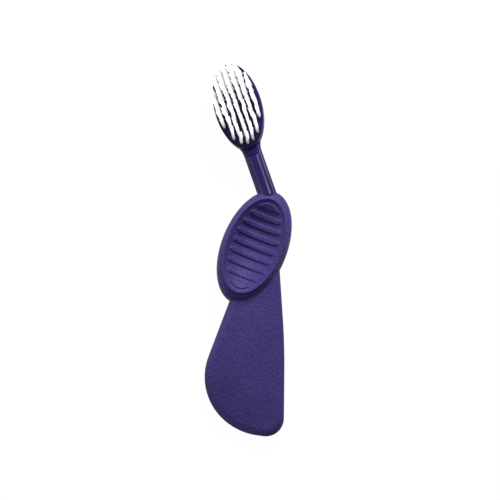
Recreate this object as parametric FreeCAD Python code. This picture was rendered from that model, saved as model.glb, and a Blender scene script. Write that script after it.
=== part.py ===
import FreeCAD, Part
import math
import os

from FreeCAD import Placement, Rotation, Vector

# Right-handed manual toothbrush, in millimetres and degrees.
# A hard plastic core carries the tufted head, the slim neck and a tang. A soft grip is moulded round
# the tang, and every tuft of bristles is folded round a small metal staple in its blind hole.
# The brush lies on the flat back of its grip with the bristles up and the head towards +Y.
# The origin is on that back, under the middle of the thumb rest.

# Ovals are four tangent arcs. The end arcs have this share of half the oval's width as radius.
OVAL_END_SHARE = 0.66

# Thumb rest: a leaning oval dome, widest at its girth, with a dish in its top
REST_LENGTH = 50.8
REST_WIDTH = 28.2
REST_LEAN = 21.8
REST_HEIGHT = 16.0
REST_GIRTH_HEIGHT = 8.0
REST_FLANK_INSET = 2.6
REST_BACK_BEVEL = 4.0
DISH_LENGTH = 40.4
DISH_WIDTH = 22.2
DISH_DEPTH = 3.0

# Ribs across the dish, kept inside an oval field
RIB_COUNT = 9
RIB_END_INSET = 1.5
RIB_WIDTH = 2.0
RIB_HEIGHT = 0.8
RIB_FIELD_LENGTH = 37.8
RIB_FIELD_WIDTH = 19.0

# Paddle: its outline from the front as corners (x, y, radius), then thickness and edges
PADDLE_CORNERS = (
    (10.05, 2.0, 5.0),
    (12.85, -41.6, 300.0),
    (12.4, -81.2, 7.8),
    (-4.6, -79.0, 25.2),
    (-26.7, -65.4, 24.2),
    (-1.05, 2.0, 5.0),
)
PADDLE_THICKNESS = 11.0
PADDLE_FRONT_ROUND = 4.0
PADDLE_BACK_BEVEL = 2.2

# Where the neck leaves the grip, and how the head and neck are turned against the grip
NECK_ROOT = (5.05, 23.8, 10.8)
NECK_LEAN = 18.6
HEAD_DROP = 7.4
HEAD_TWIST = 7.8

# Head: an oval plate with a thin lip round its face, webbed to the neck.
# Its middle lies ahead of the root of the neck and a little aside, and it is turned back a little.
HEAD_REACH = 39.8
HEAD_ASIDE = 0.8
HEAD_TURN = 3.8
HEAD_LENGTH = 40.0
HEAD_WIDTH = 20.8
HEAD_BACK = 2.1
HEAD_FRONT = 3.0
HEAD_BACK_BEVEL = 1.3
HEAD_LIP_WIDTH = 0.6
FACE_RECESS = 0.35
WEB_RADIUS = 6.0
WEB_INSET = 0.6

# Neck: a flat bar, flush with the back of the head, with a proud rib along its front
NECK_WIDTH = 8.0
NECK_FRONT = 1.2
NECK_EDGE_ROUND = 1.1
NECK_RIB_WIDTH = 5.4
NECK_RIB_RISE = 1.3
NECK_RIB_ROUND = 1.1
NECK_RIB_END_GAP = 2.4
NECK_EMBED = 7.0

# Tang inside the grip, with windows that the soft material fills
TANG_WIDTH = 8.4
TANG_BOTTOM = 4.4
TANG_THICKNESS = 3.6
TANG_ELBOW = (-0.4, -3.0)
TANG_END = (-3.4, -62.0)
TANG_ROOT_DIAMETER = 6.4
WINDOW_WIDTH = 3.4
WINDOW_LENGTH = 11.0
WINDOW_SHARES = (0.32, 0.74)

# Tufts in straight rows that fill the face inside the lip, and their staples.
# Holes and tufts are measured across flats.
ROW_COUNT = 7
ROW_INSET = 0.85
TUFT_PITCH = 3.2
TUFT_SIDE_GAP = 0.1
TUFT_END_GAP = 1.35
TUFT_SIDES = 6
TUFT_LENGTH = 11.2
TUFT_SPREAD = 0.4
TUFT_CLEARANCE = 0.02
HOLE_WIDTH = 1.7
HOLE_DEPTH = 3.2
STAPLE_HEIGHT = 1.4
STAPLE_THICKNESS = 0.3
STAPLE_FLOOR_GAP = 0.5

UP = Vector(0, 0, 1)
REST_FRAME = Placement(Vector(), Rotation(UP, -REST_LEAN))
# In the neck's frame Y runs along the neck to the head and Z is the way the bristles point.
NECK_FRAME = Placement(
    Vector(*NECK_ROOT),
    Rotation(UP, NECK_LEAN)
    * Rotation(Vector(1, 0, 0), -HEAD_DROP)
    * Rotation(Vector(0, 1, 0), -HEAD_TWIST),
)
# The plate's frame lies in the middle of the oval, in the neck's frame.
PLATE_FRAME = Placement(Vector(HEAD_ASIDE, HEAD_REACH, 0), Rotation(UP, -HEAD_TURN))
FACE_HEIGHT = HEAD_FRONT - FACE_RECESS


def placed(shape, frame):
    """A copy of the shape, moved from a local frame into the frame of the brush."""
    moved = shape.copy()
    moved.Placement = frame.multiply(shape.Placement)
    return moved


def line(start, end):
    return Part.LineSegment(start, end).toShape()


def arc(start, middle, end):
    return Part.Arc(start, middle, end).toShape()


def prism(wire, height):
    return Part.Face(wire).extrude(UP * height)


def flat_face(points):
    return Part.Face(Part.makePolygon(points + points[:1]))


def oval_wire(length, width, height):
    """Flat oval of four tangent arcs with its long axis along Y."""
    radius = OVAL_END_SHARE * width / 2
    run = length / 2 - radius
    rise = width / 2 - radius
    side_centre = (run * run - rise * rise) / (2 * rise)
    meet = Vector(0, run, height) + Vector(side_centre, run, 0).normalize() * radius
    upper_right = meet
    upper_left = Vector(-meet.x, meet.y, height)
    lower_left = Vector(-meet.x, -meet.y, height)
    lower_right = Vector(meet.x, -meet.y, height)
    return Part.Wire([
        arc(upper_right, Vector(0, length / 2, height), upper_left),
        arc(upper_left, Vector(-width / 2, 0, height), lower_left),
        arc(lower_left, Vector(0, -length / 2, height), lower_right),
        arc(lower_right, Vector(width / 2, 0, height), upper_right),
    ])


def oval(length, width, bottom, top):
    return prism(oval_wire(length, width, bottom), top - bottom)


def obround(start, end, width, bottom, top):
    """Upright prism with round ends, centred on two plan points."""
    a = Vector(start.x, start.y, bottom)
    b = Vector(end.x, end.y, bottom)
    nose = (b - a).normalize() * (width / 2)
    side = Vector(-nose.y, nose.x, 0)
    wire = Part.Wire([
        line(a + side, b + side),
        arc(b + side, b + nose, b - side),
        line(b - side, a - side),
        arc(a - side, a - nose, a + side),
    ])
    return prism(wire, top - bottom)


def rounded_outline(corners):
    """Closed outline of straight runs joined by tangent arcs."""
    points = [Vector(x, y, 0) for x, y, radius in corners]
    bends = []
    for index, (x, y, radius) in enumerate(corners):
        corner = points[index]
        back = (points[index - 1] - corner).normalize()
        ahead = (points[(index + 1) % len(points)] - corner).normalize()
        half = back.getAngle(ahead) / 2
        inward = (back + ahead).normalize()
        middle = corner + inward * (radius / math.sin(half) - radius)
        tangent = radius / math.tan(half)
        bends.append((corner + back * tangent, middle, corner + ahead * tangent))
    edges = []
    for index, (start, middle, end) in enumerate(bends):
        edges.append(line(bends[index - 1][2], start))
        edges.append(arc(start, middle, end))
    return Part.Wire(edges)


def edges_at(shape, height):
    """Edges that lie flat at one height."""
    tolerance = 1e-4
    flat = [e for e in shape.Edges if e.BoundBox.ZLength < tolerance]
    return [e for e in flat if abs(e.BoundBox.ZMin - height) < tolerance]


def thumb_rest():
    """Oval dome with a bevelled back, an upright girth, a flank that leans in and a dish in its top."""
    dome = oval(REST_LENGTH, REST_WIDTH, 0, REST_HEIGHT)
    dome = dome.makeChamfer(REST_BACK_BEVEL, edges_at(dome, 0))
    flank_height = REST_HEIGHT - REST_GIRTH_HEIGHT
    dome = dome.makeChamfer(flank_height, REST_FLANK_INSET, edges_at(dome, REST_HEIGHT))
    return dome.cut(dish_wheel())


def dish_radius(span):
    """Radius of an arc over the span that sinks to the depth of the dish."""
    return ((span / 2) ** 2 + DISH_DEPTH ** 2) / (2 * DISH_DEPTH)


def dish_floor(y):
    """Height of the dish on its long axis."""
    along = dish_radius(DISH_LENGTH)
    return REST_HEIGHT - DISH_DEPTH + along - math.sqrt(along ** 2 - y ** 2)


def dish_wheel():
    """Sector of a wheel with a round tread that hollows the dish."""
    along = dish_radius(DISH_LENGTH)
    across = dish_radius(DISH_WIDTH)
    floor = UP * dish_floor(0)
    middle = floor + UP * across
    half_width = Vector(across, 0, 0)
    tread = arc(middle - half_width, floor, middle + half_width)
    section = Part.Face(Part.Wire([tread, line(middle + half_width, middle - half_width)]))
    hub = floor + UP * along
    half_turn = math.degrees(DISH_LENGTH / along)
    section.rotate(hub, half_width, -half_turn)
    return section.revolve(hub, half_width, 2 * half_turn)


def thumb_ribs():
    """Round-ended ribs across the dish. The last one at each end is cut to the oval of the field."""
    bottom = REST_HEIGHT - 2 * DISH_DEPTH
    field = oval(RIB_FIELD_LENGTH, RIB_FIELD_WIDTH, bottom, REST_HEIGHT)
    across = dish_radius(DISH_WIDTH)
    pitch = (RIB_FIELD_LENGTH - 2 * RIB_END_INSET) / (RIB_COUNT - 1)
    ribs = []
    for index in range(RIB_COUNT):
        y = (index - (RIB_COUNT - 1) / 2) * pitch
        reach = RIB_FIELD_WIDTH / 2 * math.sqrt(1 - (2 * y / RIB_FIELD_LENGTH) ** 2) - RIB_WIDTH / 2
        rib = obround(Vector(-reach, y, 0), Vector(reach, y, 0), RIB_WIDTH, bottom, REST_HEIGHT)
        over = Vector(0, y - RIB_WIDTH, dish_floor(y) + RIB_HEIGHT + across)
        hollow = Part.makeCylinder(across, 2 * RIB_WIDTH, over, Vector(0, 1, 0))
        ribs.append(rib.common(field).cut(hollow))
    return ribs


def paddle():
    """Broad flat lower grip with a round front edge and a bevelled back edge."""
    slab = prism(rounded_outline(PADDLE_CORNERS), PADDLE_THICKNESS)
    slab = slab.makeFillet(PADDLE_FRONT_ROUND, edges_at(slab, PADDLE_THICKNESS))
    return slab.makeChamfer(PADDLE_BACK_BEVEL, edges_at(slab, 0))


def head_plate():
    """Oval plate with a bevelled back edge and a thin lip round its sunken face."""
    plate = oval(HEAD_LENGTH, HEAD_WIDTH, -HEAD_BACK, HEAD_FRONT)
    plate = plate.makeChamfer(HEAD_BACK_BEVEL, edges_at(plate, -HEAD_BACK))
    inset = 2 * HEAD_LIP_WIDTH
    plate = plate.cut(oval(HEAD_LENGTH - inset, HEAD_WIDTH - inset, FACE_HEIGHT, HEAD_FRONT))
    return placed(plate, PLATE_FRAME)


def bar(width, start, end, bottom, top):
    return Part.makeBox(width, end - start, top - bottom, Vector(-width / 2, start, bottom))


def neck():
    """Flat bar from inside the grip into the head, with a rib that stops short of the head."""
    beam = bar(NECK_WIDTH, -NECK_EMBED, HEAD_REACH, -HEAD_BACK, NECK_FRONT)
    beam = beam.makeFillet(NECK_EDGE_ROUND, [e for e in beam.Edges if e.BoundBox.YLength > HEAD_REACH])
    rib_end = HEAD_REACH - HEAD_LENGTH / 2 - NECK_RIB_END_GAP
    rib_top = NECK_FRONT + NECK_RIB_RISE
    rib = bar(NECK_RIB_WIDTH, -NECK_EMBED, rib_end, 0, rib_top)
    rims = [e for e in edges_at(rib, rib_top) if e.BoundBox.YMax > -NECK_EMBED]
    return beam.fuse(rib.makeFillet(NECK_RIB_ROUND, rims))


def head_web():
    """Plate that flares from the neck's sides into the head."""
    bottom = HEAD_BACK_BEVEL - HEAD_BACK
    top = NECK_FRONT - WEB_INSET
    plan = placed(oval(HEAD_LENGTH - WEB_INSET, HEAD_WIDTH - WEB_INSET, bottom, top), PLATE_FRAME)
    plan = plan.fuse(bar(NECK_WIDTH - WEB_INSET, 0, HEAD_REACH, bottom, top)).removeSplitter()
    upright = [e for e in plan.Edges if e.BoundBox.ZLength > (top - bottom) / 2]
    joints = [e for e in upright if abs(abs(e.BoundBox.XMin) - (NECK_WIDTH - WEB_INSET) / 2) < 1e-4]
    return plan.makeFillet(WEB_RADIUS, [e for e in joints if e.BoundBox.YMin > 0])


def tang():
    """Cranked blade with windows inside the grip, and the round root that joins it to the neck."""
    root = NECK_FRAME.multVec(Vector(0, -NECK_EMBED, 0))
    elbow = Vector(*TANG_ELBOW, 0)
    end = Vector(*TANG_END, 0)
    top = TANG_BOTTOM + TANG_THICKNESS
    foot = Vector(root.x, root.y, TANG_BOTTOM)
    blade = Part.makeCylinder(TANG_ROOT_DIAMETER / 2, root.z - TANG_BOTTOM, foot)
    windows = []
    for start, stop in ((Vector(root.x, root.y, 0), elbow), (elbow, end)):
        blade = blade.fuse(obround(start, stop, TANG_WIDTH, TANG_BOTTOM, top))
        along = (stop - start).normalize() * (WINDOW_LENGTH / 2)
        side = Vector(-along.y, along.x, 0).normalize() * (WINDOW_WIDTH / 2)
        for share in WINDOW_SHARES:
            left = start + (stop - start) * share + UP * TANG_BOTTOM + side
            right = left - side * 2
            corners = [left + along, left - along, right - along, right + along]
            windows.append(flat_face(corners).extrude(UP * TANG_THICKNESS))
    return blade.removeSplitter().cut(Part.makeCompound(windows))


def tuft_rows():
    """Places of the tufts on the face, row by row: even steps along straight rows that end on an oval."""
    field_length = HEAD_LENGTH - 2 * (HEAD_LIP_WIDTH + TUFT_END_GAP) - HOLE_WIDTH
    field_width = HEAD_WIDTH - 2 * (HEAD_LIP_WIDTH + TUFT_SIDE_GAP) - HOLE_WIDTH
    row_pitch = (field_width - 2 * ROW_INSET) / (ROW_COUNT - 1)
    rows = []
    for index in range(ROW_COUNT):
        x = (index - (ROW_COUNT - 1) / 2) * row_pitch
        length = field_length * math.sqrt(1 - (2 * x / field_width) ** 2)
        steps = round(length / TUFT_PITCH)
        ys = [length * (step / steps - 0.5) for step in range(steps + 1)]
        rows.append([Vector(x, y, FACE_HEIGHT) for y in ys])
    return rows


def ring(width, height):
    """Corners of a regular polygon with flats across X, by its width across flats."""
    turn = 2 * math.pi / TUFT_SIDES
    radius = width / 2 / math.cos(turn / 2)
    angles = [(k + 0.5) * turn for k in range(TUFT_SIDES)]
    return [Vector(radius * math.cos(a), radius * math.sin(a), height) for a in angles]


def hole(place):
    """Blind hole of a tuft, open at the face."""
    well = flat_face(ring(HOLE_WIDTH, -HOLE_DEPTH)).extrude(UP * HOLE_DEPTH)
    well.translate(place)
    return well


def staple(place):
    """Flat wire plate wedged from wall to wall across the foot of a hole."""
    corner = Vector(HOLE_WIDTH / 2, STAPLE_THICKNESS / 2, HOLE_DEPTH - STAPLE_FLOOR_GAP)
    return Part.makeBox(HOLE_WIDTH, STAPLE_THICKNESS, STAPLE_HEIGHT, place - corner)


def tuft(place):
    """Bundle of bristles, folded round its staple and a little wider at the tips."""
    mouth_width = HOLE_WIDTH - 2 * TUFT_CLEARANCE
    foot_width = mouth_width - TUFT_SPREAD * HOLE_DEPTH / (HOLE_DEPTH + TUFT_LENGTH)
    foot = ring(foot_width, -HOLE_DEPTH)
    tip = ring(foot_width + TUFT_SPREAD, TUFT_LENGTH)
    sides = [flat_face([foot[k - 1], foot[k], tip[k], tip[k - 1]]) for k in range(TUFT_SIDES)]
    bundle = Part.Solid(Part.Shell(sides + [flat_face(foot), flat_face(tip)]))
    bundle.translate(place)
    return bundle.cut(staple(place))


def core(rows):
    """Head, neck and tang as one moulding, with a blind hole for every tuft."""
    places = [place for row in rows for place in row]
    upper = head_plate().fuse([neck(), head_web()])
    upper = upper.cut(placed(Part.makeCompound([hole(place) for place in places]), PLATE_FRAME))
    return placed(upper, NECK_FRAME).fuse(tang())


def soft_grip(hard_core):
    """Thumb rest and paddle in one soft moulding, shut round the core's tang."""
    rest = placed(thumb_rest().fuse(thumb_ribs()), REST_FRAME)
    return rest.fuse(paddle()).cut(hard_core)


def export(name, shape):
    shape.exportStep(os.path.join("parts", name + ".step"))


def main():
    os.makedirs("parts", exist_ok=True)
    rows = tuft_rows()
    hard_core = core(rows)
    export("hard_core", hard_core)
    export("soft_grip", soft_grip(hard_core))
    for number, row in enumerate(rows, start=1):
        for name, piece in (("tuft", tuft), ("staple", staple)):
            group = Part.makeCompound([placed(piece(place), NECK_FRAME * PLATE_FRAME) for place in row])
            export(f"{name}_row_{number}", group)


main()
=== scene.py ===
"""Looks of a right-handed manual toothbrush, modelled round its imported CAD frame."""

import math
import random

import bmesh
import bpy
from bpy.props import FloatProperty, FloatVectorProperty, IntProperty, PointerProperty
from mathutils import Matrix, Vector


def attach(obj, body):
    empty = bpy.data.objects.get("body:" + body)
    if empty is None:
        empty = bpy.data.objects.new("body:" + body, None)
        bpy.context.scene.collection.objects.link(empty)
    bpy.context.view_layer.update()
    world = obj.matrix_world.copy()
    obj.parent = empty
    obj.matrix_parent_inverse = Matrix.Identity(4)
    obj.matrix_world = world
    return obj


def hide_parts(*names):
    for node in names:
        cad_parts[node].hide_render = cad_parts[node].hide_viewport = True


bl_info = {
    "name": "Right-hand toothbrush",
    "version": (1, 0, 0),
    "blender": (4, 5, 0),
    "location": "View3D > Sidebar > Toothbrush",
    "description": "Models and finishes a manual toothbrush round its CAD frame",
    "category": "Object",
}

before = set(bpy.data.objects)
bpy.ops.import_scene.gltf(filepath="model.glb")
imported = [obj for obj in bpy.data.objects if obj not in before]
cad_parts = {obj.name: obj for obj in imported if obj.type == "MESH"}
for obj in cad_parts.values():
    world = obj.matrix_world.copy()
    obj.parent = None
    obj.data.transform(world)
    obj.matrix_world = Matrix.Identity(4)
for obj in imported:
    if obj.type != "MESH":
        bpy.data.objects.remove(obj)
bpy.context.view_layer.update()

MM = 0.001
BODY = "root"


# Sizes and colours that a user would change

def length(name, default_mm, description):
    return FloatProperty(
        name=name, description=description, default=default_mm * MM, unit="LENGTH", subtype="DISTANCE", precision=5
    )


def angle(name, degrees, description):
    return FloatProperty(name=name, description=description, default=math.radians(degrees), subtype="ANGLE")


def count(name, default, description):
    return IntProperty(name=name, description=description, default=default, min=1)


def share(name, default, description):
    return FloatProperty(name=name, description=description, default=default, subtype="FACTOR")


def colour(name, default, description):
    return FloatVectorProperty(
        name=name, description=description, default=default, size=3, subtype="COLOR", min=0, max=1
    )


class GripSizes(bpy.types.PropertyGroup):
    """The soft grip: a dished and ribbed thumb rest on a broad paddle."""

    rest_length: length("Rest length", 50.8, "Thumb rest at its girth, end to end")
    rest_width: length("Rest width", 28.2, "Thumb rest at its girth, side to side")
    rest_lean: angle("Rest lean", -21.8, "Turn of the thumb rest against the brush")
    rest_height: length("Rest height", 16.0, "Crest of the thumb rest above the back")
    girth_height: length("Girth height", 8.0, "Top of the thumb rest's upright girth")
    rest_back_round: length("Rest back round", 4.0, "Rounding between the girth and the back")
    dish_length: length("Dish length", 40.8, "Dish at its rim, end to end")
    dish_width: length("Dish width", 22.2, "Dish at its rim, side to side")
    dish_depth: length("Dish depth", 6.0, "Dish below its rim")
    rim_width: length("Rim width", 1.0, "Proud rim round the dish")
    rim_height: length("Rim height", 1.4, "Rim above the shoulder of the flank")
    rim_drop: length("Rim drop", 0.5, "Sharp drop from the rim to the dish")
    rib_count: count("Ribs", 9, "Ribs across the dish")
    rib_end_inset: length("Rib end inset", 1.5, "Last rib inside the end of the rib field")
    rib_width: length("Rib width", 2.1, "Width of a rib")
    rib_height: length("Rib height", 0.7, "Rib above the floor of the dish")
    rib_field_length: length("Rib field length", 37.8, "Oval that the ribs keep to, end to end")
    rib_field_width: length("Rib field width", 18.8, "Oval that the ribs keep to, side to side")
    paddle_thickness: length("Paddle thickness", 11.0, "Paddle from back to front")
    paddle_front_round: length("Paddle front round", 3.4, "Rounding of the paddle's front edge")
    paddle_back_round: length("Paddle back round", 3.0, "Rounding of the paddle's back edge")
    paddle_lift: length("Paddle lift", 2.4, "Rise of the paddle's front towards the thumb rest")
    paddle_crown: length("Paddle crown", 4.4, "Fall of the paddle's front towards its round corner")
    skin_grid: length("Skin grid", 0.25, "Spacing of the grip's mesh before its flats are thinned")
    skin_kept: share("Skin kept", 0.5, "Faces of the grip left after its flats are thinned")


class HeadSizes(bpy.types.PropertyGroup):
    """The hard head and neck, in a frame that starts where the neck leaves the grip."""

    root_x: length("Root X", 5.05, "Where the neck leaves the grip")
    root_y: length("Root Y", 23.8, "Where the neck leaves the grip")
    root_z: length("Root Z", 10.8, "Where the neck leaves the grip")
    lean: angle("Lean", 18.6, "Turn of the head and neck against the grip")
    drop: angle("Drop", -7.4, "Tilt of the head towards the back")
    twist: angle("Twist", -7.8, "Turn of the head about the neck")
    reach: length("Head reach", 39.8, "From the grip to the middle of the head")
    aside: length("Head aside", 0.8, "Middle of the head beside the line of the neck")
    turn: angle("Head turn", -3.8, "Turn of the oval head against the neck")
    head_length: length("Head length", 40.0, "Head, end to end")
    head_width: length("Head width", 20.8, "Head, side to side")
    back: length("Back", 2.1, "Back of the head and neck below their middle plane")
    front: length("Front", 3.0, "Lip of the head above the middle plane")
    back_round: length("Back round", 1.5, "Rounding of the head's back edge")
    lip_width: length("Lip width", 0.6, "Thin lip round the face")
    face_recess: length("Face recess", 0.35, "Face below the lip")
    neck_width: length("Neck width", 8.0, "Flat bar of the neck")
    neck_front: length("Neck front", 1.2, "Front of the bar above the middle plane")
    neck_round: length("Neck round", 1.1, "Rounding of the bar's edges")
    neck_embed: length("Neck embed", 7.0, "Neck inside the grip")
    rib_width: length("Neck rib width", 6.0, "Proud rib along the neck")
    rib_rise: length("Neck rib rise", 1.3, "Rib above the bar")
    rib_round: length("Neck rib round", 2.2, "Rounding of the rib")
    rib_end_gap: length("Neck rib end gap", 2.4, "From the rib's end to the head")
    nose_length: length("Nose length", 4.6, "Rib that runs up on to the thumb rest")
    nose_run: length("Nose run", 6.0, "Length over which the rib rises before the thumb rest")
    nose_rise: length("Nose rise", 1.0, "Rise of the rib on to the thumb rest")
    skin_grid: length("Skin grid", 0.2, "Spacing of the finished mesh")


class BristleSizes(bpy.types.PropertyGroup):
    """Tufts of nylon filaments in straight rows."""

    rows: count("Rows", 7, "Rows of tufts")
    row_inset: length("Row inset", 0.85, "Outer row inside the edge of the tufted field")
    tuft_pitch: length("Tuft pitch", 3.2, "Tuft to tuft along a row")
    side_gap: length("Side gap", 0.1, "Holes to lip at the sides")
    end_gap: length("End gap", 1.35, "Holes to lip at the ends")
    hole_width: length("Hole width", 1.7, "Hole that holds a tuft")
    filaments: count("Filaments", 46, "Filaments that stand out of one hole")
    filament_radius: length("Filament radius", 0.1, "Radius of one filament")
    filament_length: length("Filament length", 11.2, "Filament above the face")
    sunk: length("Sunk", 1.0, "Filament below the face")
    sway: share("Sway", 0.02, "Sideways lean of a whole tuft out of its row")
    sweep: share("Sweep", 0.18, "Lean of the last tufts of the longest row out of their row, apart at its two ends")
    squeeze: share("Squeeze", 0.76, "Tuft across its row against the width of its hole")
    splay_along: share("Splay along", 0.07, "Sideways lean of filaments along a row")
    splay_across: share("Splay across", 0.004, "Sideways lean of filaments across a row")
    bend: share("Bend", 0.05, "Curl of filaments near their tips")
    ragged: length("Ragged", 0.2, "Uneven filament length")


class Finishes(bpy.types.PropertyGroup):
    """Colours of the materials."""

    grip: colour("Grip", (0.044, 0.0335, 0.141), "Soft purple elastomer")
    # Painted shade in the pits of the grain, and the darker end of the grip's random cloudy tone
    grip_dark_tone_and_pit_shade: colour("Grip deep", (0.026, 0.0195, 0.1), "Elastomer in the pits of its grain")
    core: colour("Core", (0.0095, 0.0042, 0.056), "Hard purple plastic")
    nylon: colour("Nylon", (0.93, 0.935, 0.945), "Bristles")
    nylon_root: colour("Nylon root", (0.86, 0.84, 0.78), "Bristles near the face")
    staple: colour("Staple", (0.72, 0.55, 0.28), "Brass wire")
    floor: colour("Floor", (0.35, 0.35, 0.35), "Floor under the brush")


class StageSizes(bpy.types.PropertyGroup):
    """Camera and light."""

    target: FloatVectorProperty(
        name="Target", description="Middle of the picture", default=(-0.00185, -0.00112, 0.007), subtype="XYZ"
    )
    elevation: angle("Elevation", 85.0, "Camera above the horizon, seen from the paddle's end")
    distance: length("Distance", 350.0, "Camera to the middle of the picture")
    focal_pixels: FloatProperty(name="Focal pixels", description="Focal length in pixels", default=814.0)
    picture_pixels: FloatProperty(name="Picture pixels", description="Width of the picture", default=500.0)
    floor_size: length("Floor size", 4000.0, "Side of the floor")
    world_light: share("World light", 0.15, "Even light from all round")


# Modelling helpers

def deselect():
    if bpy.context.mode != "OBJECT":
        bpy.ops.object.mode_set(mode="OBJECT")
    bpy.ops.object.select_all(action="DESELECT")


def activate(piece):
    deselect()
    piece.select_set(True)
    bpy.context.view_layer.objects.active = piece


def pick(kind, test):
    """In edit mode, selects only the vertices, edges or faces that pass the test."""
    bpy.ops.mesh.select_mode(type={"verts": "VERT", "edges": "EDGE", "faces": "FACE"}[kind])
    bpy.ops.mesh.select_all(action="DESELECT")
    shape = bmesh.from_edit_mesh(bpy.context.object.data)
    for element in getattr(shape, kind):
        if test(element):
            element.select_set(True)
    shape.select_flush_mode()
    bmesh.update_edit_mesh(bpy.context.object.data)


def middle(element):
    return sum((corner.co for corner in element.verts), Vector()) / len(element.verts)


def extrude(offset, scale=(1, 1, 1), center=(0, 0, 0)):
    bpy.ops.mesh.extrude_region_move(TRANSFORM_OT_translate={"value": offset})
    bpy.ops.transform.resize(value=scale, center_override=center)


def ring_stack(name, rings, sides=128):
    """Oval body from a stack of rings (half width, half length, height), extruded one from the other."""
    deselect()
    bpy.ops.mesh.primitive_circle_add(vertices=sides, radius=1, fill_type="NGON", enter_editmode=True)
    body = bpy.context.object
    body.name = name
    wide, long, height = rings[0]
    bpy.ops.transform.resize(value=(wide, long, 1), center_override=(0, 0, 0))
    bpy.ops.transform.translate(value=(0, 0, height))
    for ring in rings[1:]:
        extrude((0, 0, ring[2] - height), (ring[0] / wide, ring[1] / long, 1))
        wide, long, height = ring
    bpy.ops.mesh.select_all(action="SELECT")
    bpy.ops.mesh.normals_make_consistent(inside=False)
    deselect()
    return body


def block(name, low, high):
    """Box between two corners, left in edit mode."""
    deselect()
    low, high = Vector(low), Vector(high)
    bpy.ops.mesh.primitive_cube_add(size=1, location=(low + high) / 2, scale=high - low, enter_editmode=True)
    body = bpy.context.object
    body.name = name
    activate(body)
    bpy.ops.object.transform_apply(location=True, rotation=True, scale=True)
    bpy.ops.object.mode_set(mode="EDIT")
    return body


def bevel(offset, segments):
    bpy.ops.mesh.bevel(offset=offset, segments=segments, affect="EDGES", offset_type="OFFSET")


def finish_modifier(piece, kind, **settings):
    """Adds a modifier with its settings and applies it."""
    activate(piece)
    modifier = piece.modifiers.new(kind.title(), kind)
    for key, value in settings.items():
        setattr(modifier, key, value)
    bpy.ops.object.modifier_apply(modifier=modifier.name)


def place(piece, matrix):
    """Moves a piece and leaves its place in its mesh."""
    piece.matrix_world = matrix
    activate(piece)
    bpy.ops.object.transform_apply(location=True, rotation=True, scale=True)


def grown_together(name, bodies, grid, rounds):
    """One closed skin over bodies that overlap, with its corners softened."""
    deselect()
    for body in bodies:
        body.select_set(True)
    bpy.context.view_layer.objects.active = bodies[0]
    bpy.ops.object.join()
    piece = bpy.context.object
    piece.name = name
    piece.data.name = name
    finish_modifier(piece, "REMESH", mode="VOXEL", voxel_size=grid, use_smooth_shade=True)
    finish_modifier(piece, "SMOOTH", factor=0.5, iterations=rounds)
    activate(piece)
    bpy.ops.object.shade_smooth()
    return piece


def dress(piece, material, slot, *nodes):
    """Gives a finished piece its material and body, and hides the CAD nodes that it stands for. The slot is not
    used.
    """
    piece.data.materials.clear()
    piece.data.materials.append(material)
    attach(piece, BODY)
    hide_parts(*nodes)


# Shader maths

# Sockets of a Mix node that has several of the same name, by number
MIX_FACTOR, MIX_COLOUR_A, MIX_COLOUR_B = 0, 6, 7
MIX_COLOUR_RESULT = 2


class Field:
    """A value over a surface: wraps a socket, so that shader maths reads as Python."""

    def __init__(self, finish, socket):
        self.finish = finish
        self.socket = socket

    def maths(self, operation, first, second):
        return self.finish.node("Math", {"operation": operation}, inputs={0: first, 1: second})

    def __add__(self, other):
        return self.maths("ADD", self, other)

    def __radd__(self, other):
        return self.maths("ADD", other, self)

    def __sub__(self, other):
        return self.maths("SUBTRACT", self, other)

    def __rsub__(self, other):
        return self.maths("SUBTRACT", other, self)

    def __mul__(self, other):
        return self.maths("MULTIPLY", self, other)

    def __rmul__(self, other):
        return self.maths("MULTIPLY", other, self)


class Nodes:
    """Shader nodes of a material or of the world."""

    def __init__(self, owner):
        owner.use_nodes = True
        self.tree = owner.node_tree

    def node(self, kind, settings=None, inputs=None, output=0):
        """Any shader node: its type, then its settings, then values or links for its sockets."""
        made = self.tree.nodes.new("ShaderNode" + kind)
        for key, value in (settings or {}).items():
            setattr(made, key, value)
        for key, value in (inputs or {}).items():
            self.feed(made.inputs[key], value)
        return Field(self, made.outputs[output])

    def feed(self, socket, value):
        if isinstance(value, Field):
            self.tree.links.new(value.socket, socket)
        else:
            socket.default_value = value

    def white_to_camera(self, output, lit, white, amount):
        """Ends in one shader that lights, and a white one that is seen, also in a gloss or a clear surface."""
        seen = self.node("LightPath", output="Is Camera Ray")
        for rays in ("Is Glossy Ray", "Is Transmission Ray"):
            seen = seen.maths("MAXIMUM", seen, self.node("LightPath", output=rays))
        mixed = self.node("MixShader", inputs={0: seen * amount, 1: lit, 2: white})
        self.feed(self.tree.nodes[output].inputs["Surface"], mixed)


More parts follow.
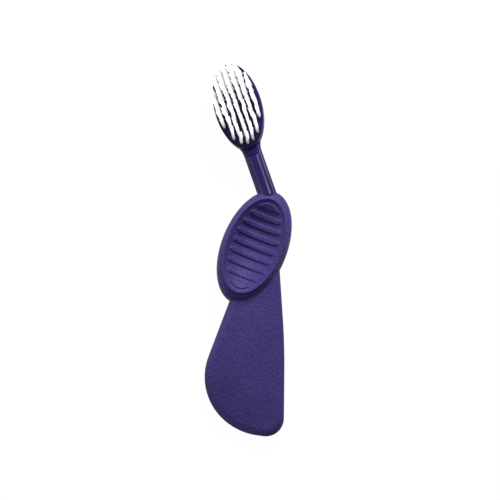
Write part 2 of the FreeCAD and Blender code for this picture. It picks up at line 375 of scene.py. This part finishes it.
class Finish(Nodes):
    """A Principled material whose constants sit on the shader and whose fields feed it."""

    def __init__(self, name, constants):
        self.material = bpy.data.materials.new(name)
        super().__init__(self.material)
        self.shader = self.tree.nodes["Principled BSDF"]
        for socket, value in constants.items():
            self.shader.inputs[socket].default_value = value
        self.place = self.node("TexCoord", output="Object")

    def set(self, **fields):
        """Feeds fields to the shader, as Base_Color=field."""
        for name, field in fields.items():
            self.feed(self.shader.inputs[name.replace("_", " ")], field)

    def noise(self, size, detail):
        """Soft noise from 0 to 1 whose features have about the given size."""
        return self.node("TexNoise", inputs={"Vector": self.place, "Scale": 1 / size, "Detail": detail})

    def pebbles(self, size):
        """Rounded grains: 0 in the middle of a grain, rising to its edge."""
        inputs = {"Vector": self.place, "Scale": 1 / size, "Smoothness": 0.4}
        return self.node("TexVoronoi", {"feature": "SMOOTH_F1"}, inputs, output="Distance")

    def between(self, low, high, amount):
        """Colour from low to high by a field from 0 to 1."""
        inputs = {MIX_FACTOR: amount, MIX_COLOUR_A: (*low, 1), MIX_COLOUR_B: (*high, 1)}
        return self.node("Mix", {"data_type": "RGBA"}, inputs, output=MIX_COLOUR_RESULT)

    def clamped(self, field, low, high):
        """The field rescaled from low..high to 0..1."""
        inputs = {"Value": field, "From Min": low, "From Max": high}
        return self.node("MapRange", {"clamp": True}, inputs)

    def bump(self, height, distance, strength):
        return self.node("Bump", inputs={"Height": height, "Distance": distance, "Strength": strength})


def elastomer(colours):
    """Soft moulded rubber with a fine leathery grain, painted shade in its pits and a random cloudy tone."""
    finish = Finish("soft_elastomer", {"Specular IOR Level": 0.13})
    grain = finish.pebbles(1.2 * MM) * 0.8 + finish.noise(0.7 * MM, detail=4) * 0.6
    pits = finish.clamped(grain, 0.35, 0.9)
    clouds = finish.noise(14 * MM, detail=2)
    # Mask for the colour: painted shade in the pits of the grain, plus random cloudy tone
    pit_shade_and_clouds = finish.clamped(pits * 0.45 + clouds * 0.7, 0.15, 0.9)
    finish.set(
        Base_Color=finish.between(colours.grip, colours.grip_dark_tone_and_pit_shade, pit_shade_and_clouds),
        Roughness=0.5 + pits * 0.1 + clouds * 0.08,
        Normal=finish.bump(1 - grain, 0.2 * MM, strength=0.9),
    )
    return finish.material


def hard_plastic(colours):
    """Polished injection moulding with faint smudges and a trace of flow."""
    finish = Finish("hard_plastic", {"Specular IOR Level": 0.05, "Coat Roughness": 0.28})
    smudge = finish.clamped(finish.noise(5 * MM, detail=4), 0.35, 0.75)
    ripple = finish.noise(2.4 * MM, detail=2)
    deep = tuple(0.75 * part for part in colours.core)
    finish.set(
        Base_Color=finish.between(colours.core, deep, smudge),
        Roughness=0.34 + smudge * 0.08,
        Coat_Weight=0.14 + smudge * 0.05,
        Normal=finish.bump(ripple, 0.02 * MM, strength=0.5),
    )
    return finish.material


def nylon(colours, head):
    """White filaments, a little warmer and darker towards the face of the head, with a painted glow for light
    scattered in the nylon that dims near the face.
    """
    # The emission is a painted glow: the filaments give off light though they are no lamp
    finish = Finish("white_nylon", {"Specular IOR Level": 0.45, "Emission Strength": 0.2})
    matrix = neck_matrix(head) @ plate_matrix(head)
    up = matrix.to_3x3() @ Vector((0, 0, 1))
    face = matrix @ Vector((0, 0, head.front - head.face_recess))
    rise = finish.node(
        "VectorMath", {"operation": "DOT_PRODUCT"}, {0: finish.place, 1: up[:]}, output="Value"
    ) - up.dot(face)
    streaks = finish.noise(0.35 * MM, detail=2)
    root = 1 - finish.clamped(rise + streaks * (1.5 * MM), 0.5 * MM, 6 * MM)
    finish.set(
        Base_Color=finish.between(colours.nylon, colours.nylon_root, root),
        # Painted glow: white at the tips, dimming to grey near the face
        Emission_Color=finish.between(colours.nylon, (0.3, 0.3, 0.3), root),
        Roughness=0.32 + streaks * 0.2,
    )
    return finish.material


def brass_wire(colours):
    """Flat drawn wire with fine draw lines."""
    finish = Finish("brass_wire", {"Metallic": 1.0})
    lines = finish.noise(0.12 * MM, detail=3)
    dark = tuple(0.7 * part for part in colours.staple)
    finish.set(Base_Color=finish.between(colours.staple, dark, lines), Roughness=0.3 + lines * 0.2)
    return finish.material


# Soft grip

# Roundness of the dish's floor, and how far the flank turns towards the rim
DISH_POWER = 1.2
FLANK_TURN = math.radians(80)
# Rings over the rim: distance from the dish in rim widths, and fall below the crest in rim heights
RIM_RINGS = ((0.8, 0.2), (0.55, 0.0), (0.3, 0.0))
# Corners of the paddle's outline from the front, in millimetres: x, y and corner radius
PADDLE_CORNERS = (
    (10.05, 2.0, 5.0),
    (12.85, -41.6, 300.0),
    (12.4, -81.2, 7.8),
    (-4.6, -79.0, 25.2),
    (-26.7, -65.4, 24.2),
    (-1.05, 2.0, 5.0),
)
# Fall of the paddle's front: its start, its way, its run, and the share of the thickness that stays
CROWN_START = Vector((6, -36, 0)) * MM
CROWN_WAY = Vector((-0.72, -0.69, 0))
CROWN_RUN = 36 * MM
CROWN_FOOT = 0.4


def rest_matrix(grip):
    return Matrix.Rotation(grip.rest_lean, 4, "Z")


def dish_drop(grip, x, y):
    """Depth of the dish below its rim at a plan point of the thumb rest."""
    out = (2 * x / grip.dish_width) ** 2 + (2 * y / grip.dish_length) ** 2
    return grip.rim_drop + grip.dish_depth * (1 - out**DISH_POWER)


def rest_rings(grip):
    """Rings of the thumb rest: round back edge, upright girth, swelling flank, then the dish inwards."""
    wide, long = grip.rest_width / 2, grip.rest_length / 2
    rings = []
    steps = 10
    for step in range(steps + 1):
        turn = math.pi / 2 * step / steps
        inset = grip.rest_back_round * (1 - math.sin(turn))
        rings.append((wide - inset, long - inset, grip.rest_back_round * (1 - math.cos(turn))))
    for step in range(steps + 1):
        turn = FLANK_TURN * step / steps
        inward = (1 - math.cos(turn)) / (1 - math.cos(FLANK_TURN))
        upward = math.sin(turn) / math.sin(FLANK_TURN)
        rings.append((
            wide + (grip.dish_width / 2 + grip.rim_width - wide) * inward,
            long + (grip.dish_length / 2 + grip.rim_width - long) * inward,
            grip.girth_height + (grip.rest_height - grip.rim_height - grip.girth_height) * upward,
        ))
    for across, below in RIM_RINGS:
        out = grip.rim_width * across
        height = grip.rest_height - grip.rim_height * below
        rings.append((grip.dish_width / 2 + out, grip.dish_length / 2 + out, height))
    dish_steps = 16
    for step in range(dish_steps):
        size = 1 - step / dish_steps
        x = grip.dish_width / 2 * size
        rings.append((x, grip.dish_length / 2 * size, grip.rest_height - dish_drop(grip, x, 0)))
    return rings


def thumb_rib(grip, y, last):
    """One round-ended rib, curved to the dish. The last one at each end is a crescent."""
    half = grip.rib_width / 2
    widest = abs(y) - half if last else y
    reach = grip.rib_field_width / 2 * math.sqrt(1 - (2 * widest / grip.rib_field_length) ** 2)
    outward = math.copysign(grip.rib_end_inset, y) if last else 0
    low, high = min(outward, 0) - half, max(outward, 0) + half
    rib = block("thumb_rib", (-reach, low, -grip.rib_height), (reach, high, grip.rib_height))
    pick("edges", lambda edge: abs(edge.verts[0].co.z - edge.verts[1].co.z) > grip.rib_height)
    bevel(min(half, reach) * 0.98, 6)
    pick("edges", lambda edge: middle(edge).z > grip.rib_height * 0.99)
    bevel(grip.rib_height * 0.5, 4)
    cuts = 16
    for cut in range(1, cuts):
        bpy.ops.mesh.select_all(action="SELECT")
        bpy.ops.mesh.bisect(plane_co=(reach * (2 * cut / cuts - 1), 0, 0), plane_no=(1, 0, 0))
    shape = bmesh.from_edit_mesh(rib.data)
    for corner in shape.verts:
        x = corner.co.x
        edge = grip.rib_field_length / 2 * math.sqrt(max(1 - (2 * x / grip.rib_field_width) ** 2, 0))
        corner.co.y = min(max(corner.co.y + y, -edge), edge) if last else corner.co.y + y
        corner.co.z += grip.rest_height - dish_drop(grip, x, corner.co.y)
    bmesh.update_edit_mesh(rib.data)
    deselect()
    return rib


def rounded_outline(corners, spacing):
    """Points round an outline of corners (x, y, radius) joined by tangent arcs."""
    places = [Vector((x, y, 0)) * MM for x, y, radius in corners]
    points = []
    for index, (x, y, radius) in enumerate(corners):
        corner, radius = places[index], radius * MM
        back = (places[index - 1] - corner).normalized()
        ahead = (places[(index + 1) % len(places)] - corner).normalized()
        half = back.angle(ahead) / 2
        centre = corner + (back + ahead).normalized() * (radius / math.sin(half))
        start = corner + back * (radius / math.tan(half)) - centre
        sweep = math.pi - 2 * half
        side = 1 if back.cross(ahead).z > 0 else -1
        steps = max(2, round(radius * sweep / spacing))
        for step in range(steps + 1):
            points.append(centre + Matrix.Rotation(-side * sweep * step / steps, 3, "Z") @ start)
    return points


def paddle(grip):
    """Broad lower grip with well rounded edges, whose front rises to the thumb rest and leaves its dish free."""
    points = rounded_outline(PADDLE_CORNERS, MM)
    deselect()
    bpy.ops.mesh.primitive_circle_add(vertices=len(points), radius=1, fill_type="NGON", enter_editmode=True)
    body = bpy.context.object
    shape = bmesh.from_edit_mesh(body.data)
    shape.verts.ensure_lookup_table()
    for corner, point in zip(shape.verts, points):
        corner.co = point
    bmesh.update_edit_mesh(body.data)
    bpy.ops.mesh.select_all(action="SELECT")
    extrude((0, 0, grip.paddle_thickness))
    bpy.ops.mesh.select_all(action="SELECT")
    bpy.ops.mesh.normals_make_consistent(inside=False)
    top = grip.paddle_thickness
    pick("edges", lambda edge: min(corner.co.z for corner in edge.verts) > top * 0.99)
    bevel(grip.paddle_front_round, 8)
    pick("edges", lambda edge: max(corner.co.z for corner in edge.verts) < top * 0.01)
    bevel(grip.paddle_back_round, 6)
    shape = bmesh.from_edit_mesh(body.data)
    places = [corner.co.y for corner in shape.verts]
    low, high = min(places), max(places)
    for corner in shape.verts:
        if corner.co.z > grip.paddle_back_round:
            corner.co.z += grip.paddle_lift * (corner.co.y - low) / (high - low)
    bmesh.update_edit_mesh(body.data)
    deselect()
    well_below_dish = grip.rest_height - 1.5 * (grip.rim_drop + grip.dish_depth)
    heights = (well_below_dish, 2 * grip.rest_height)
    clear = ring_stack("dish_clearance", [(grip.dish_width / 2, grip.dish_length / 2, height) for height in heights])
    place(clear, rest_matrix(grip))
    finish_modifier(body, "BOOLEAN", operation="DIFFERENCE", object=clear)
    bpy.data.objects.remove(clear)
    return body


def crown(piece, grip):
    """Lets the paddle's front fall away towards its round lower corner."""
    for corner in piece.data.vertices:
        out = max((corner.co - CROWN_START).dot(CROWN_WAY) / CROWN_RUN, 0)
        front = min(max(corner.co.z / grip.paddle_thickness - CROWN_FOOT, 0) / (1 - CROWN_FOOT), 1)
        corner.co.z -= grip.paddle_crown * out**3 * front


class BRUSH_OT_grip(bpy.types.Operator):
    """Model the soft grip: thumb rest, ribs and paddle in one skin"""

    bl_idname = "brush.grip"
    bl_label = "Soft grip"

    def execute(self, context):
        grip = context.scene.brush_grip
        rest = ring_stack("thumb_rest", rest_rings(grip))
        bodies = [rest]
        pitch = (grip.rib_field_length - 2 * grip.rib_end_inset) / (grip.rib_count - 1)
        for index in range(grip.rib_count):
            last = index in (0, grip.rib_count - 1)
            bodies.append(thumb_rib(grip, (index - (grip.rib_count - 1) / 2) * pitch, last))
        for body in bodies:
            place(body, rest_matrix(grip))
        bodies.append(paddle(grip))
        piece = grown_together("grip", bodies, grip.skin_grid, rounds=3)
        finish_modifier(piece, "DECIMATE", ratio=grip.skin_kept)
        crown(piece, grip)
        dress(piece, elastomer(context.scene.brush_finishes), "grip", "soft_grip")
        return {"FINISHED"}


# Hard head and neck

# Flare of the neck into the head: steps forward in millimetres, and how much wider each one ends
FLARE_STEPS = ((1.4, 1.01), (1.2, 1.04), (1.1, 1.07), (1.0, 1.08), (1.0, 1.06))


def neck_matrix(head):
    """Frame of the neck: Y runs along the neck to the head, and Z is the way the bristles point."""
    turn = (
        Matrix.Rotation(head.lean, 4, "Z")
        @ Matrix.Rotation(head.drop, 4, "X")
        @ Matrix.Rotation(head.twist, 4, "Y")
    )
    return Matrix.Translation((head.root_x, head.root_y, head.root_z)) @ turn


def plate_matrix(head):
    """Frame in the middle of the oval head, in the neck's frame."""
    return Matrix.Translation((head.aside, head.reach, 0)) @ Matrix.Rotation(head.turn, 4, "Z")


def neck_end(head):
    """Where the straight neck and its rib end, along the neck."""
    return head.reach - head.head_length / 2 - head.rib_end_gap


def head_plate(head):
    """Oval plate with a round back edge and a thin lip round its sunken face."""
    wide, long = head.head_width / 2, head.head_length / 2
    rings = []
    steps = 8
    for step in range(steps + 1):
        turn = math.pi / 2 * step / steps
        inset = head.back_round * (1 - math.sin(turn))
        rings.append((wide - inset, long - inset, head.back_round * (1 - math.cos(turn)) - head.back))
    face = head.front - head.face_recess
    lip_round = head.lip_width / 3
    for inset, height in (
        (0, head.front - lip_round),
        (lip_round, head.front),
        (2 * lip_round, head.front),
        (3 * lip_round, face),
    ):
        rings.append((wide - inset, long - inset, height))
    plate = ring_stack("head_plate", rings)
    place(plate, plate_matrix(head))
    return plate


def neck_bar(head):
    """Flat bar from inside the grip that flares into the head."""
    half = head.neck_width / 2
    flare_start = neck_end(head)
    beam = block("neck_bar", (-half, -head.neck_embed, -head.back), (half, flare_start, head.neck_front))
    pick("edges", lambda edge: abs(edge.verts[0].co.y - edge.verts[1].co.y) > head.neck_embed)
    bevel(head.neck_round, 4)
    pick("faces", lambda face: min(corner.co.y for corner in face.verts) > flare_start * 0.99)
    for forward, wider in FLARE_STEPS:
        extrude((0, forward * MM, 0), (wider, 1, 1))
    bpy.ops.mesh.select_all(action="SELECT")
    bpy.ops.mesh.normals_make_consistent(inside=False)
    deselect()
    return beam


def neck_rib(head):
    """Proud round rib along the front of the neck that runs up on to the thumb rest."""
    half = head.rib_width / 2
    top = head.neck_front + head.rib_rise
    rib = block("neck_rib", (-half, -head.nose_length, 0), (half, neck_end(head), top))
    pick("edges", lambda edge: middle(edge).y < -head.nose_length * 0.99 and abs(middle(edge).x) > half * 0.99)
    bevel(half * 0.8, 6)
    pick("edges", lambda edge: min(corner.co.z for corner in edge.verts) > top * 0.99)
    bevel(head.rib_round, 6)
    cuts = 10
    for cut in range(1, cuts):
        at = -head.nose_length + (head.nose_run + head.nose_length) * cut / cuts
        bpy.ops.mesh.select_all(action="SELECT")
        bpy.ops.mesh.bisect(plane_co=(0, at, 0), plane_no=(0, 1, 0))
    shape = bmesh.from_edit_mesh(rib.data)
    for corner in shape.verts:
        near = max((head.nose_run - corner.co.y) / (head.nose_run + head.nose_length), 0)
        corner.co.z *= 1 + head.nose_rise / top * near**2
    bmesh.update_edit_mesh(rib.data)
    deselect()
    return rib


class BRUSH_OT_head(bpy.types.Operator):
    """Model the hard head and neck in one skin"""

    bl_idname = "brush.head"
    bl_label = "Head and neck"

    def execute(self, context):
        head = context.scene.brush_head
        bodies = [head_plate(head), neck_bar(head), neck_rib(head)]
        for body in bodies:
            place(body, neck_matrix(head))
        piece = grown_together("head_and_neck", bodies, head.skin_grid, rounds=3)
        dress(piece, hard_plastic(context.scene.brush_finishes), "core", "hard_core")
        return {"FINISHED"}


# Bristles

# Spread of single filaments about the splay of their tuft
UNEVEN = 0.45


def tuft_rows(head, bristles):
    """Plan places of the tufts, row by row: even steps along straight rows that end on an oval."""
    field_length = head.head_length - 2 * (head.lip_width + bristles.end_gap) - bristles.hole_width
    field_width = head.head_width - 2 * (head.lip_width + bristles.side_gap) - bristles.hole_width
    row_pitch = (field_width - 2 * bristles.row_inset) / (bristles.rows - 1)
    rows = []
    for index in range(bristles.rows):
        x = (index - (bristles.rows - 1) / 2) * row_pitch
        row_length = field_length * math.sqrt(1 - (2 * x / field_width) ** 2)
        steps = round(row_length / bristles.tuft_pitch)
        rows.append([(x, row_length * (step / steps - 0.5)) for step in range(steps + 1)])
    return rows


def filament(bristles):
    """One straight filament with a rounded tip, cut in lengths so that it can bend."""
    radius = bristles.filament_radius
    full = bristles.filament_length + bristles.sunk
    deselect()
    bpy.ops.mesh.primitive_cylinder_add(
        vertices=5, radius=radius, depth=full, location=(0, 0, full / 2 - bristles.sunk), enter_editmode=True
    )
    thread = bpy.context.object
    for part in (0.35, 0.7):
        bpy.ops.mesh.select_all(action="SELECT")
        bpy.ops.mesh.bisect(plane_co=(0, 0, full * (part - 0.5)), plane_no=(0, 0, 1))
    pick("faces", lambda face: min(corner.co.z for corner in face.verts) > full * 0.49)
    tip = (0, 0, bristles.filament_length)
    extrude((0, 0, radius * 0.7), (0.55, 0.55, 1), tip)
    activate(thread)
    bpy.ops.object.transform_apply(location=True, rotation=True, scale=True)
    return thread


def tuft(bristles, base, along, chance):
    """Corners of one tuft, by its place along the row from -1 to 1: filaments that lean and bend apart."""
    golden = math.pi * (3 - math.sqrt(5))
    packed = bristles.hole_width / 2 - bristles.filament_radius
    lean_x = chance.gauss(0, bristles.sway) - bristles.sweep * along
    lean_y = chance.gauss(0, bristles.splay_along / 2)
    corners = []
    for index in range(bristles.filaments):
        out = math.sqrt((index + 0.5) / bristles.filaments)
        x = packed * out * math.cos(golden * index) * bristles.squeeze
        y = packed * out * math.sin(golden * index)
        slope_x = lean_x + bristles.splay_across * (x / packed + chance.gauss(0, UNEVEN))
        slope_y = lean_y + bristles.splay_along * (y / packed + chance.gauss(0, UNEVEN))
        curl_x = chance.gauss(0, bristles.bend * 0.2)
        curl_y = chance.gauss(0, bristles.bend)
        stretch = 1 + chance.uniform(-1, 0.2) * bristles.ragged / bristles.filament_length
        for corner in base:
            rise = max(corner.z, 0) * stretch
            high = rise / bristles.filament_length
            corners.append(Vector((
                corner.x + x + rise * (slope_x + curl_x * high),
                corner.y + y + rise * (slope_y + curl_y * high),
                corner.z * stretch,
            )))
    return corners


class BRUSH_OT_bristles(bpy.types.Operator):
    """Model the bristles, a piece for each row of tufts"""

    bl_idname = "brush.bristles"
    bl_label = "Bristles"

    def execute(self, context):
        head, bristles = context.scene.brush_head, context.scene.brush_bristles
        material = nylon(context.scene.brush_finishes, head)
        chance = random.Random(7)
        thread = filament(bristles)
        base = [corner.co.copy() for corner in thread.data.vertices]
        sides = [tuple(face.vertices) for face in thread.data.polygons]
        face_height = head.front - head.face_recess
        for number, row in enumerate(tuft_rows(head, bristles), start=1):
            corners = []
            for x, y in row:
                foot = Matrix.Translation((x, y, face_height))
                along = 2 * y / head.head_length
                corners += [foot @ corner for corner in tuft(bristles, base, along, chance)]
            copies = len(corners) // len(base)
            faces = [[len(base) * copy + corner for corner in face] for copy in range(copies) for face in sides]
            mesh = bpy.data.meshes.new(f"bristle_row_{number}")
            mesh.from_pydata(corners, [], faces)
            piece = bpy.data.objects.new(mesh.name, mesh)
            context.scene.collection.objects.link(piece)
            place(piece, neck_matrix(head) @ plate_matrix(head))
            bpy.ops.object.shade_smooth_by_angle(angle=math.radians(80))
            dress(piece, material, "bristles", f"tuft_row_{number}")
        bpy.data.objects.remove(thread)
        return {"FINISHED"}


class BRUSH_OT_staples(bpy.types.Operator):
    """Give the hidden CAD staples their metal"""

    bl_idname = "brush.staples"
    bl_label = "Staples"

    def execute(self, context):
        material = brass_wire(context.scene.brush_finishes)
        for name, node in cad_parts.items():
            if name.startswith("staple_row"):
                node.data.materials.clear()
                node.data.materials.append(material)
        return {"FINISHED"}


# Stage

WHITE = (1, 1, 1, 1)
# Floor to the camera: strength of its white, and the share of it against the lit floor with its shadow
FLOOR_WHITE = 1.06
FLOOR_SEEN = 0.92
# Soft boxes: name, place and side in metres, and power in watts
LAMPS = (
    ("key", (0.16, 0.45, 0.37), 0.24, 5.7),
    ("left", (-0.55, 0.15, 0.2), 0.6, 3.0),
    ("right", (0.2, 0.31, 0.53), 0.24, 1.2),
)


def floor_material(colours):
    """White to the camera, with a soft trace of the brush's shadow."""
    finish = Finish("studio_floor", {"Base Color": (*colours.floor, 1), "Roughness": 0.9, "Specular IOR Level": 0.0})
    white = finish.node("Emission", inputs={"Color": WHITE, "Strength": FLOOR_WHITE})
    finish.white_to_camera("Material Output", Field(finish, finish.shader.outputs[0]), white, FLOOR_SEEN)
    return finish.material


def white_world(strength):
    """Even light all round, and plain white where the camera sees it."""
    world = bpy.data.worlds.new("studio")
    bpy.context.scene.world = world
    nodes = Nodes(world)
    light = nodes.tree.nodes["Background"]
    nodes.feed(light.inputs["Color"], WHITE)
    nodes.feed(light.inputs["Strength"], strength)
    white = nodes.node("Background", inputs={"Color": WHITE, "Strength": 1.0})
    nodes.white_to_camera("World Output", Field(nodes, light.outputs[0]), white, 1.0)


def lamp(name, place_at, aim, size, power):
    """Square soft box that faces a point."""
    bpy.ops.object.light_add(type="AREA", location=place_at)
    light = bpy.context.object
    light.name = name
    light.data.size = size
    light.data.energy = power
    light.rotation_euler = (Vector(aim) - Vector(place_at)).to_track_quat("-Z", "Y").to_euler()


class BRUSH_OT_stage(bpy.types.Operator):
    """Set the floor, the lamps and the camera"""

    bl_idname = "brush.stage"
    bl_label = "Stage"

    def execute(self, context):
        stage = context.scene.brush_stage
        deselect()
        bpy.ops.mesh.primitive_plane_add(size=stage.floor_size)
        floor = context.object
        floor.name = "floor"
        floor.data.materials.append(floor_material(context.scene.brush_finishes))
        white_world(stage.world_light)
        for name, place_at, size, power in LAMPS:
            lamp(name, place_at, stage.target, size, power)
        target = Vector(stage.target)
        away = Vector((0, -math.cos(stage.elevation), math.sin(stage.elevation)))
        bpy.ops.object.camera_add(location=target + away * stage.distance)
        camera = context.object
        camera.rotation_euler = (-away).to_track_quat("-Z", "Y").to_euler()
        camera.data.lens = camera.data.sensor_width * stage.focal_pixels / stage.picture_pixels
        camera.data.clip_start = 0.01
        context.scene.camera = camera
        context.scene.view_settings.view_transform = "Standard"
        return {"FINISHED"}


class BRUSH_PT_panel(bpy.types.Panel):
    """Sizes, finishes and steps of the toothbrush"""

    bl_idname = "BRUSH_PT_panel"
    bl_label = "Toothbrush"
    bl_space_type = "VIEW_3D"
    bl_region_type = "UI"
    bl_category = "Toothbrush"

    def draw(self, context):
        for operator in OPERATORS:
            self.layout.operator(operator.bl_idname)
        for name in GROUPS:
            group = getattr(context.scene, name)
            column = self.layout.column(heading=name)
            for key in group.__annotations__:
                column.prop(group, key)


GROUPS = {
    "brush_grip": GripSizes,
    "brush_head": HeadSizes,
    "brush_bristles": BristleSizes,
    "brush_finishes": Finishes,
    "brush_stage": StageSizes,
}
OPERATORS = (BRUSH_OT_grip, BRUSH_OT_head, BRUSH_OT_bristles, BRUSH_OT_staples, BRUSH_OT_stage)
CLASSES = (*GROUPS.values(), *OPERATORS, BRUSH_PT_panel)


def register():
    for item in CLASSES:
        bpy.utils.register_class(item)
    for name, group in GROUPS.items():
        setattr(bpy.types.Scene, name, PointerProperty(type=group))


def unregister():
    for name in GROUPS:
        delattr(bpy.types.Scene, name)
    for item in reversed(CLASSES):
        bpy.utils.unregister_class(item)


def main():
    register()
    bpy.ops.brush.grip()
    bpy.ops.brush.head()
    bpy.ops.brush.bristles()
    bpy.ops.brush.staples()
    bpy.ops.brush.stage()


if __name__ == "__main__":
    main()
